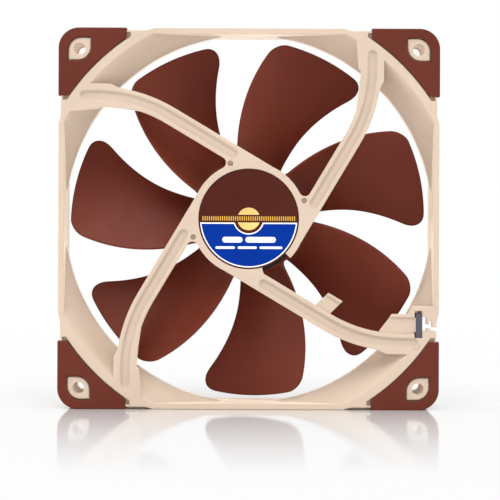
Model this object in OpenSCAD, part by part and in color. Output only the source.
// Square case fan standing upright: its outlet side, with the struts, faces -Y.
// Every sub-part is modelled lying flat, with z = 0 on the inlet side and the outlet
// side on top, seen from the outlet side with x to the right. stand() then raises it.

/* [Frame] */
// width and height of the fan across its corner pads
frame_size = 140; // [120:1:160]
// depth of the fan from the front pads to the rear pads
fan_depth = 25; // [24:0.5:30]
// distance between neighbouring screw holes
hole_spacing = 124.5; // [105:0.5:130]
// diameter of the screw holes
hole_d = 4.3; // [3.5:0.1:5]
// radius of the round throat the blades turn in
throat_r = 68.55; // [67:0.05:69]
// half the distance between the flat walls that cut the throat at mid-side
flat_wall = 67.8; // [66.5:0.05:68]
// radius where the rear flare meets the rear face
rear_flare_r = 76.6; // [72:0.1:78]
// radius where the front inlet meets the front face
front_flare_r = 74.6; // [70:0.1:78]
// thickness of the corner flanges
flange_t = 5.75; // [4:0.05:8]

/* [Corner pads] */
// how far a corner pad reaches along each side, measured from the fan's centre
pad_start = 45; // [40:0.5:55]
// radius of the curved inner edge of a pad about the fan's centre
pad_arc_r = 80.1; // [78:0.1:84]
// thickness of a pad over the face of its flange
pad_t = 1.75; // [1:0.05:3]
// thickness of a pad round the outside of its flange
pad_skirt = 1; // [0.6:0.1:1.5]
// how far a pad stands above the face of the frame
pad_proud = 0.25; // [0.1:0.05:0.6]
// gap between a pad and the frame, round its window and along its curved edge
pad_gap = 0.4; // [0.1:0.05:0.5]
// width of the almond-shaped window round a screw hole
window_w = 8.6; // [7:0.1:10]

/* [Struts] */
// width of a strut
strut_w = 6.4; // [4:0.1:8]
// depth of a strut from the rear face
strut_t = 4.25; // [2:0.05:5]
// height of a strut's level outer stretch above the fan's centre line
strut_y = 45.25; // [40:0.05:50]
// how far a strut's outer edge stands out where it meets the frame
foot_extra = 1.2; // [0:0.1:2]
// slope of a strut's inner stretch, in degrees
strut_slope = 30.75; // [20:0.25:40]
// radius of the bend between the two stretches
strut_bend_r = 53; // [30:1:80]
// width of the groove along a strut
groove_w = 3.6; // [2.4:0.1:5]
// depth of that groove
groove_t = 0.8; // [0.4:0.1:2.4]

/* [Motor base] */
// radius of the round motor base the struts carry
base_r = 21; // [18:0.1:24]
// radius of the round label on the motor base
label_r = 18.4; // [15:0.1:20]
// radius of the bearing tube
tube_r = 5.2; // [4.5:0.1:6]

/* [Impeller] */
// number of blades
blade_count = 7; // [5:1:11]
// radius to the blade tips
tip_r = 66; // [60:0.1:67]
// radius of the impeller's hub
hub_r = 20.5; // [18:0.1:22]
// height of the trailing edges above the inlet face
trailing_z = 18.6; // [16:0.1:19]
// height of the leading edges above the inlet face
leading_z = 1.9; // [1:0.1:6]
// thickness of a blade at its root
root_t = 2; // [1.2:0.1:3]
// thickness of a blade at its tip
tip_t = 1.2; // [0.8:0.1:2]
// radius of the steel shaft
shaft_r = 1.5; // [1:0.1:2.5]
// radial clearance between the shaft and its bearing
shaft_clear = 0.03; // [0.01:0.01:0.1]

/* [Hidden] */
$fn = 96;
face_z = fan_depth - pad_proud; // the frame's rear face
front_z = pad_proud; // the frame's front face
core_size = frame_size - 2 * pad_skirt; // the frame inside the pads' skirts
corner_r = 7.5;
hole_at = hole_spacing / 2;
pad_floor = fan_depth - pad_t; // the sunk face a rear pad lies on
tube_z = 6; // front end of the bearing tube
shell_r = 4.2;
sleeve_r = 3.4;
base_z = 20; // front edge of the motor base's rim
base_floor = 22.8; // front face of the motor base's floor
label_floor = 24.2; // rear face of the motor base's floor
board_z = 20.6;
board_t = 1;
core_z = 8.5;
core_t = 7.5;
pole_count = 4;
pole_r = 15.9;
neck_w = 5;
yoke_r = 18.95;
yoke_t = 0.8;
magnet_r = yoke_r - yoke_t;
cable_from = -74.5; // angles between which the motor base is open for the cable
cable_to = -43;
gland_r = 19.4;

// ---------------------------------------------------------------- shared shapes

// raises a flat sub-part so that the fan stands on its lower side
module stand() {
    translate([0, fan_depth / 2, frame_size / 2])
        rotate([90, 0, 0])
            children();
}

module rounded_square(size, r) {
    square([size, size - 2 * r], center = true);
    square([size - 2 * r, size], center = true);
    for (a = [0:90:270])
        rotate(a)
            translate([size / 2 - r, size / 2 - r])
                circle(r);
}

module tube(outer, inner, z0, z1) {
    translate([0, 0, z0])
        difference() {
            cylinder(r = outer, h = z1 - z0);
            translate([0, 0, -1])
                cylinder(r = inner, h = z1 - z0 + 2);
        }
}

// wedge of the plane between two angles, reaching out to radius r
module sector(from, to, r) {
    mid = (from + to) / 2;
    far = r / cos((to - from) / 4);
    polygon([
        [0, 0],
        [r * cos(from), r * sin(from)],
        [far * cos((from + mid) / 2), far * sin((from + mid) / 2)],
        [far * cos((mid + to) / 2), far * sin((mid + to) / 2)],
        [r * cos(to), r * sin(to)]
    ]);
}

// ------------------------------------------------------------------------ frame

// outline of the frame: recessed by the corners, where the pads wrap round it
module frame_outline() {
    mid_half = frame_size / 2 - 0.15;
    rounded_square(core_size, corner_r - pad_skirt);
    for (a = [0:90:270])
        rotate(a)
            polygon([[60, -38], [core_size / 2, -38], [mid_half, -34.7],
                     [mid_half, 34.7], [core_size / 2, 38], [60, 38]]);
}

// space the air passes through: a bell mouth in front, then the straight throat, then
// a slightly dished flare up to the rear face
module duct_opening() {
    throat_z = 8;
    flare_z = 15;
    steps = 4;
    bell = [front_flare_r - throat_r, throat_z - front_z];
    flare = [rear_flare_r - throat_r, face_z - flare_z];
    intersection() {
        rotate_extrude()
            polygon(concat(
                [[0, -1], [front_flare_r, -1]],
                [for (a = [90:-15:0]) [front_flare_r - bell.x * cos(a), front_z + bell.y * (1 - sin(a))]],
                [for (i = [0:steps])
                    let (k = i / steps)
                    [throat_r + flare.x * (1.16 - 0.16 * k) * k, flare_z + flare.y * k]],
                [[rear_flare_r + 1, face_z + 1], [0, face_z + 1]]
            ));
        translate([-flat_wall, -flat_wall, -2])
            cube([2 * flat_wall, 2 * flat_wall, fan_depth + 4]);
    }
}

// duct wall between the flanges, a shell that follows the opening
module duct_wall() {
    intersection() {
        translate([0, 0, 4])
            linear_extrude(fan_depth - 8)
                frame_outline();
        rotate_extrude()
            polygon([[0, 4], [75.2, 4], [71.6, 8.5], [70.4, 12.5], [70.4, 14.5], [75.4, 20.5], [0, 20.5]]);
    }
}

// almond shape round a screw hole: two opposite corners of a square are round
module almond(w) {
    r = w * 0.58;
    difference() {
        square(w, center = true);
        for (a = [0, 180])
            rotate(a)
                difference() {
                    translate([w / 2 - r, w / 2 - r])
                        square(r + 1);
                    translate([w / 2 - r, w / 2 - r])
                        circle(r);
                }
    }
}

// the part of a corner outside an arc about the fan's centre, in the corner at +x +y
module corner_region(start, arc_r) {
    difference() {
        translate([start, start])
            square(frame_size / 2);
        circle(arc_r);
    }
}

// sunk bed of one pad, with the small notches beyond its two ends
module pad_bed() {
    notch = 1.5;
    skin = 0.6;
    bed_arc_r = pad_arc_r - pad_gap;
    difference() {
        union() {
            corner_region(pad_start, bed_arc_r);
            intersection() {
                corner_region(pad_start - notch, bed_arc_r);
                square(core_size / 2 - skin);
            }
        }
        translate([hole_at, hole_at])
            almond(window_w - 2 * pad_gap);
    }
}

// place of a point beside the upper left strut: t along it from the foot of the
// perpendicular dropped from the fan's centre, n out from the centre
function beside(t, n) = [
    n * sin(strut_slope) - t * cos(strut_slope),
    n * cos(strut_slope) + t * sin(strut_slope)
];

strut_n = base_r - 0.1 - strut_w / 2; // distance of the strut's middle line from the centre
bend_x = (strut_n - strut_y * cos(strut_slope) - strut_bend_r * (1 - cos(strut_slope))) / sin(strut_slope);

// point on the strut's bend: a degrees round it, and off outside its middle line
function bend_point(a, off) = [
    bend_x + (strut_bend_r + off) * sin(a),
    strut_y - strut_bend_r + (strut_bend_r + off) * cos(a)
];

// band along the upper left strut's middle line, from x = outer_x to t = inner_t
module strut_band(w, outer_x, inner_t) {
    steps = 12;
    turn = strut_slope / steps;
    polygon(concat(
        [[outer_x, strut_y + w / 2]],
        [for (i = [0:steps]) bend_point(i * turn, w / 2)],
        [beside(inner_t, strut_n + w / 2), beside(inner_t, strut_n - w / 2)],
        [for (i = [steps:-1:0]) bend_point(i * turn, -w / 2)],
        [[outer_x, strut_y - w / 2]]
    ));
}

// rounded web in the corner between a strut and the motor base
module strut_web() {
    fillet = 2.2;
    edge_n = strut_n - strut_w / 2;
    centre_t = sqrt(pow(base_r + fillet, 2) - pow(edge_n - fillet, 2));
    centre = beside(centre_t, edge_n - fillet);
    difference() {
        polygon([
            beside(8, edge_n + 1),
            beside(centre_t, edge_n + 1),
            beside(centre_t, edge_n),
            centre,
            centre * base_r / norm(centre),
            beside(8, edge_n - 6)
        ]);
        translate(centre)
            circle(fillet);
    }
}

// half the width of the groove's round section at a depth below the rear face
groove_r = (pow(groove_w / 2, 2) + pow(groove_t, 2)) / (2 * groove_t);
function groove_half(depth) = sqrt(pow(groove_r, 2) - pow(groove_r - groove_t + depth, 2));

// groove along the upper left strut, cut in levels that follow its round section
module strut_groove() {
    outer_x = -60.4;
    inner_t = 17;
    levels = 5;
    for (level = [1:levels]) {
        half = groove_half(groove_t * (level - 1) / levels);
        translate([0, 0, face_z - groove_t * level / levels])
            linear_extrude(groove_t + 1) {
                strut_band(2 * half, outer_x, inner_t);
                for (end = [[outer_x, strut_y], beside(inner_t, strut_n)])
                    translate(end)
                        circle(half);
            }
    }
}

// outer edge of the upper left strut's end, which stands out a little by the frame
module strut_foot() {
    top = strut_y + strut_w / 2;
    polygon([
        [-75, strut_y], [-75, top + foot_extra], [-50.8, top + foot_extra - 0.2],
        [-47.3, top - 0.7], [-47.3, strut_y - 1]
    ]);
}

// inner edge of that end, which spreads towards the frame
module strut_heel() {
    bottom = strut_y - strut_w / 2;
    polygon([
        [-75, strut_y], [-47, strut_y - 1.5], [-40, bottom - 1.1], [-40, bottom - 2.6],
        [-47, bottom - 1.6], [-54.6, bottom - 0.9], [-55.3, bottom - 1.6],
        [-65.4, bottom - 2.8], [-75, bottom - 4]
    ]);
}

module struts() {
    for (a = [0:90:270])
        rotate(a)
            translate([0, 0, face_z - strut_t])
                linear_extrude(strut_t) {
                    intersection() {
                        union() {
                            strut_band(strut_w, -75, 0);
                            strut_foot();
                            if (a != 180)
                                strut_heel();
                        }
                        circle(78.4);
                    }
                    if (a != 180)
                        strut_web();
                }
}

// hook that holds the cable beside the lower right strut, and the cover plate over
// the outer end of its way: both are sunk a little behind a raised lip
module cable_cover() {
    sunk = 0.6;
    plate_t = 1.9;
    lip_t = 3.6;
    translate([0, 0, face_z - plate_t - sunk])
        linear_extrude(plate_t) {
            polygon([for (p = [[37.1, 15], [38.4, 10.9], [39.2, 8.2], [45.1, 8.2], [43.6, 14.2], [44, 15]])
                -beside(p[0], p[1])]);
            polygon([[48.2, -42], [48.2, -40.8], [52.8, -34.9], [61.4, -34.9], [61.4, -42]]);
        }
    translate([0, 0, face_z - lip_t])
        linear_extrude(lip_t) {
            polygon([-beside(39.2, 8.2), -beside(45.1, 8.2), -beside(44.9, 9.2), -beside(38.9, 9.2)]);
            polygon([[52.8, -34.8], [52, -35.9], [61.2, -35.9], [61.2, -34.8]]);
        }
    translate([0, 0, face_z - flange_t])
        linear_extrude(flange_t)
            difference() {
                polygon([[57, -31.9], [69, -31.9], [69, -44], [61, -44], [61, -35], [57, -35]]);
                circle(throat_r - 0.15);
            }
}

// slot for the grommet and the open way out past the side wall
module cable_way() {
    translate([0, 0, face_z - flange_t - 1])
        linear_extrude(flange_t + 2) {
            polygon([[61, -43.5], [63.9, -43.5], [63.9, -33.5], [61, -33.5], [61, -36.1],
                     [61.4, -36.1], [61.4, -41.3], [60.7, -41.3], [60.7, -41.8], [61, -41.8]]);
            difference() {
                polygon([[63.8, -41], [75, -41], [75, -39.5], [67.6, -39.5], [67.5, -37.6],
                         [66.5, -36.7], [65.4, -36.1], [64.3, -35.7], [63.8, -35.7]]);
                translate([65.45, -38.5])
                    square([0.95, 3]);
                translate([65.5, -42])
                    square([1.3, 1.8]);
            }
        }
    translate([65.2, -42.5, -1])
        cube([10, 7.5, flange_t + 2]);
}

// round mark left by the mould beside the slot
module mould_mark() {
    translate([61.5, -46.6, face_z - 0.15])
        difference() {
            cylinder(r = 1.3, h = 1);
            translate([0, 0, -1])
                cylinder(r = 1, h = 3);
        }
}

// round base that carries the motor, with the tube its bearing sits in
module motor_base() {
    difference() {
        translate([0, 0, base_z])
            cylinder(r = base_r, h = face_z - base_z);
        translate([0, 0, base_z - 1])
            cylinder(r = label_r + 0.2, h = base_floor - base_z + 1);
        translate([0, 0, label_floor])
            cylinder(r = label_r + 0.1, h = 2);
        translate([0, 0, base_z - 1])
            linear_extrude(fan_depth)
                difference() {
                    sector(cable_from, cable_to, base_r + 3);
                    circle(label_r + 0.1);
                }
    }
    translate([0, 0, tube_z])
        cylinder(r = tube_r, h = base_floor + 0.5 - tube_z);
}

module frame() {
    color([0.9, 0.81, 0.73])
        stand()
            difference() {
                union() {
                    difference() {
                        union() {
                            for (z = [front_z, face_z - flange_t])
                                translate([0, 0, z])
                                    linear_extrude(flange_t)
                                        frame_outline();
                            mid_walls();
                            duct_wall();
                        }
                        duct_opening();
                    }
                    difference() {
                        struts();
                        translate([0, 0, base_z - 1])
                            cylinder(r = label_r + 0.2, h = fan_depth);
                    }
                    cable_cover();
                    motor_base();
                }
                cable_way();
                mould_mark();
                for (a = [0:90:270])
                    rotate(a) {
                        translate([hole_at, hole_at, -1])
                            cylinder(d = hole_d, h = fan_depth + 2);
                        translate([0, 0, pad_floor])
                            linear_extrude(pad_t + 1)
                                pad_bed();
                        translate([0, 0, -1])
                            linear_extrude(pad_t + 1)
                                pad_bed();
                        translate([hole_at - window_w / 2, hole_at - window_w / 2, face_z - 0.4])
                            cube([window_w, window_w, 2]);
                        translate([hole_at - window_w / 2, hole_at - window_w / 2, front_z + 0.4 - 2])
                            cube([window_w, window_w, 2]);
                        strut_groove();
                    }
                for (a = [0, 90, 270])
                    rotate(a)
                        translate(concat(beside(16.2, 14), [face_z - 1.3]))
                            cylinder(r = 1, h = 3);
                translate([0, 0, tube_z - 1])
                    cylinder(r = shell_r, h = 23.4 - tube_z + 1);
            }
}

// flat walls at the middle of each side, over the whole depth
module mid_walls() {
    translate([0, 0, front_z])
        linear_extrude(face_z - front_z)
            difference() {
                intersection() {
                    frame_outline();
                    circle(73);
                }
                square(2 * flat_wall - 2, center = true);
            }
}

// ------------------------------------------------------------------ corner pads

// one rubber pad, on the rear flange in the corner at +x +y
module pad() {
    translate([0, 0, pad_floor])
        linear_extrude(pad_t)
            difference() {
                intersection() {
                    corner_region(pad_start, pad_arc_r);
                    rounded_square(frame_size, corner_r);
                }
                translate([hole_at, hole_at])
                    almond(window_w);
            }
    translate([0, 0, face_z - flange_t])
        linear_extrude(fan_depth - face_z + flange_t)
            difference() {
                intersection() {
                    corner_region(pad_start, pad_arc_r);
                    rounded_square(frame_size, corner_r);
                }
                rounded_square(core_size, corner_r - pad_skirt);
            }
}

module rear_pad(angle) {
    color([0.47, 0.22, 0.17])
        stand()
            rotate(angle)
                pad();
}

module front_pad(angle) {
    color([0.47, 0.22, 0.17])
        stand()
            rotate(angle)
                translate([0, 0, fan_depth])
                    mirror([0, 0, 1])
                        pad();
}

module pad_rear_top_right() { rear_pad(0); }
module pad_rear_top_left() { rear_pad(90); }
module pad_rear_bottom_left() { rear_pad(180); }
module pad_rear_bottom_right() { rear_pad(270); }
module pad_front_top_right() { front_pad(0); }
module pad_front_top_left() { front_pad(90); }
module pad_front_bottom_left() { front_pad(180); }
module pad_front_bottom_right() { front_pad(270); }

// ---------------------------------------------------------- label and cable ends

module rear_label() {
    color([0.35, 0.16, 0.13])
        stand()
            translate([0, 0, label_floor])
                cylinder(r = label_r, h = 0.25);
}

module cable_gland() {
    color([0.05, 0.05, 0.05])
        stand()
            translate([0, 0, base_z])
                linear_extrude(face_z - 0.2 - base_z)
                    intersection() {
                        difference() {
                            circle(gland_r);
                            circle(label_r + 0.1);
                        }
                        sector(cable_from, cable_to, base_r + 3);
                    }
}

module cable_grommet() {
    color([0.28, 0.26, 0.3])
        stand()
            translate([61.45, -43.5, face_z - flange_t])
                cube([2.4, 9, flange_t - 0.2]);
}

// ---------------------------------------------------------------------- bearing

module bearing_shell() {
    color([0.72, 0.56, 0.3])
        stand()
            tube(shell_r, sleeve_r, tube_z, 23.4);
}

module bearing_sleeve() {
    color([0.6, 0.45, 0.28])
        stand()
            tube(sleeve_r, shaft_r + shaft_clear, 7, 21);
}

module dust_seal() {
    color([0.15, 0.15, 0.15])
        stand()
            tube(sleeve_r, shaft_r + 0.4, tube_z, 7);
}

module thrust_pad() {
    color([0.85, 0.85, 0.8])
        stand()
            translate([0, 0, 22.9])
                cylinder(r = sleeve_r, h = 0.5);
}

// ----------------------------------------------------------------------- stator

// outline of the stator: a ring with T-shaped poles, each neck w wide
module pole_outline(w, head_r) {
    difference() {
        union() {
            circle(tube_r + 2);
            for (k = [0:pole_count - 1])
                rotate(k * 360 / pole_count) {
                    translate([0, -w / 2])
                        square([head_r - 0.5, w]);
                    intersection() {
                        difference() {
                            circle(head_r);
                            circle(head_r - 2);
                        }
                        sector(-40, 40, head_r + 2);
                    }
                }
        }
        circle(tube_r);
    }
}

module stator_core() {
    color([0.5, 0.5, 0.52])
        stand()
            translate([0, 0, core_z])
                linear_extrude(core_t)
                    pole_outline(neck_w, pole_r);
}

module front_insulator() {
    color([0.93, 0.92, 0.88])
        stand()
            translate([0, 0, core_z - 0.8])
                linear_extrude(0.8)
                    pole_outline(neck_w, pole_r - 0.4);
}

module rear_insulator() {
    color([0.93, 0.92, 0.88])
        stand()
            translate([0, 0, core_z + core_t])
                linear_extrude(0.8)
                    pole_outline(neck_w, pole_r - 0.4);
}

// the four windings, one round each neck
module stator_coils() {
    inner_x = tube_r + 2.4;
    radial = pole_r - 3 - inner_x;
    wound = 2.1;
    stack = core_t + 1.6;
    color([0.72, 0.35, 0.15])
        stand()
            for (k = [0:pole_count - 1])
                rotate(k * 360 / pole_count)
                    difference() {
                        translate([inner_x, -neck_w / 2 - wound, core_z - 0.8 - wound])
                            cube([radial, neck_w + 2 * wound, stack + 2 * wound]);
                        translate([inner_x - 1, -neck_w / 2, core_z - 0.8])
                            cube([radial + 2, neck_w, stack]);
                    }
}

// pins that carry the windings' ends down to the circuit board
module coil_pins() {
    pin_z = core_z + core_t + 0.8;
    color([0.8, 0.78, 0.7])
        stand()
            for (a = [45, 135, 225, 315])
                rotate(a)
                    translate([tube_r + 1.2, 0, pin_z])
                        cylinder(r = 0.35, h = board_z - pin_z);
}

// ---------------------------------------------------------------- circuit board

module circuit_board() {
    color([0.1, 0.35, 0.2])
        stand()
            tube(label_r - 0.6, tube_r + 0.3, board_z, board_z + board_t);
}

module driver_chip() {
    color([0.08, 0.08, 0.09])
        stand()
            translate([9.5, -2.5, board_z - 1])
                cube([5, 5, 1]);
}

module board_capacitor() {
    color([0.6, 0.5, 0.3])
        stand()
            translate([-13, 2, board_z + board_t])
                cube([3.2, 1.6, 1]);
}

module board_resistors() {
    color([0.12, 0.12, 0.13])
        stand()
            for (y = [-6, -3.5, -1])
                translate([-12.5, y, board_z + board_t])
                    cube([2, 1.2, 0.5]);
}

// --------------------------------------------------------------------- impeller

// angles of a blade's two edges at radius r, measured round the fan's axis
function trailing_angle(r) = 38.3 - 0.367 * (r - 25.2) - 0.00216 * pow(r - 25.2, 2);
function leading_angle(r) = 2.9 - norm([0.456 * (r - 29.9), 6.6]);

// how far a corner rounded to radius c has come in, at h below the tip
function rounded_off(c, h) = h >= c ? 0 : c - sqrt(c * c - pow(c - h, 2));

function to_angle(length, r) = length / r * 180 / PI;
function edge_from(r) = leading_angle(r) + to_angle(rounded_off(8, tip_r - r), r);
function edge_to(r) = trailing_angle(r) - to_angle(rounded_off(4.4, tip_r - r), r);

// height of the blade's middle surface a share s of the way from edge to edge
function blade_z(s) = leading_z + 0.6 + (trailing_z - leading_z - 1.2) * s * (0.65 + 0.35 * s);
function blade_slope(s) = (trailing_z - leading_z - 1.2) * (0.65 + 0.7 * s);

// a point of one face of the blade: side is 1 for the rear face and -1 for the front
function blade_point(r, k, side) =
    let (
        root = leading_angle(r),
        span = trailing_angle(r) - root,
        angle = edge_from(r) + (edge_to(r) - edge_from(r)) * k,
        s = (angle - root) / span,
        width = root_t + (tip_t - root_t) * (r - hub_r) / (tip_r - hub_r),
        half = width * (0.22 + 0.28 * pow(sin(180 * k), 0.5)),
        run = span * PI / 180 * r,
        pitch = atan2(blade_slope(s), run),
        turn = angle - side * to_angle(half * sin(pitch), r)
    )
    [r * cos(turn), r * sin(turn), blade_z(s) + side * half * cos(pitch)];

module blade() {
    across = 10;
    row = across + 1;
    radii = concat([19.4, 22.5, 27, 32, 37.5, 43, 48.5, 53.5, 58], [for (h = [5, 2.6, 1, 0.25, 0]) tip_r - h]);
    last = len(radii) - 1;
    size = row * (last + 1);
    points = [for (side = [1, -1]) for (r = radii) for (k = [0:across]) blade_point(r, k / across, side)];
    rear = [for (i = [0:last - 1]) for (k = [0:across - 1])
        let (p = i * row + k)
        each [[p, p + row + 1, p + row], [p, p + 1, p + row + 1]]];
    front = [for (t = rear) [for (v = [2:-1:0]) t[v] + size]];
    rims = [for (i = [0:last - 1])
        let (p = i * row, q = p + across)
        each [[p, p + size + row, p + size], [p, p + row, p + size + row],
              [q, q + size + row, q + row], [q, q + size, q + size + row]]];
    caps = [for (k = [0:across - 1])
        let (p = k, q = last * row + k)
        each [[p, p + size + 1, p + 1], [p, p + size, p + size + 1],
              [q, q + size + 1, q + size], [q, q + 1, q + size + 1]]];
    polyhedron(points = points, faces = concat(rear, front, rims, caps), convexity = 4);
}

// hub of the impeller: a cup over the motor, closed towards the inlet
module impeller_hub() {
    lip = 19.3;
    cap_z = 1.5;
    edge = 2;
    rotate_extrude()
        polygon(concat(
            [[0, cap_z]],
            [for (a = [-90:22.5:0]) [hub_r - edge + edge * cos(a), cap_z + edge + edge * sin(a)]],
            [[hub_r, lip], [yoke_r, lip], [yoke_r, cap_z + 1.5], [4, cap_z + 1.5],
             [4, cap_z + 0.5], [0, cap_z + 0.5]]
        ));
}

module impeller() {
    first = 10; // angle of the first blade's own zero line
    color([0.47, 0.21, 0.17])
        stand() {
            impeller_hub();
            for (k = [0:blade_count - 1])
                rotate(first + k * 360 / blade_count)
                    blade();
        }
}

// steel can that carries the magnet inside the impeller's hub
module rotor_yoke() {
    top_z = 3;
    color([0.62, 0.62, 0.64])
        stand() {
            tube(yoke_r, 4, top_z, top_z + yoke_t);
            tube(yoke_r, magnet_r, top_z + yoke_t, 18.6);
        }
}

module ring_magnet() {
    color([0.2, 0.19, 0.19])
        stand()
            tube(magnet_r, pole_r + 0.5, 5.5, 18.2);
}

module shaft() {
    groove_z = 21.4;
    color([0.75, 0.76, 0.78])
        stand()
            difference() {
                translate([0, 0, 2.5])
                    cylinder(r = shaft_r, h = 19.9);
                tube(shaft_r + 1, shaft_r - 0.4, groove_z, groove_z + 0.5);
            }
}

module shaft_insert() {
    color([0.78, 0.62, 0.33])
        stand()
            difference() {
                translate([0, 0, 2])
                    cylinder(r = 4, h = 3.6);
                translate([0, 0, 2.5])
                    cylinder(r = shaft_r, h = 5);
            }
}

module retaining_clip() {
    color([0.9, 0.88, 0.8])
        stand()
            tube(2.6, shaft_r - 0.4, 21.4, 21.9);
}

frame();
pad_rear_top_left();
pad_rear_bottom_left();
pad_rear_bottom_right();
pad_rear_top_right();
pad_front_top_left();
pad_front_bottom_left();
pad_front_bottom_right();
pad_front_top_right();
rear_label();
cable_gland();
cable_grommet();
bearing_shell();
bearing_sleeve();
dust_seal();
thrust_pad();
stator_core();
front_insulator();
rear_insulator();
stator_coils();
coil_pins();
circuit_board();
driver_chip();
board_capacitor();
board_resistors();
impeller();
rotor_yoke();
ring_magnet();
shaft();
shaft_insert();
retaining_clip();
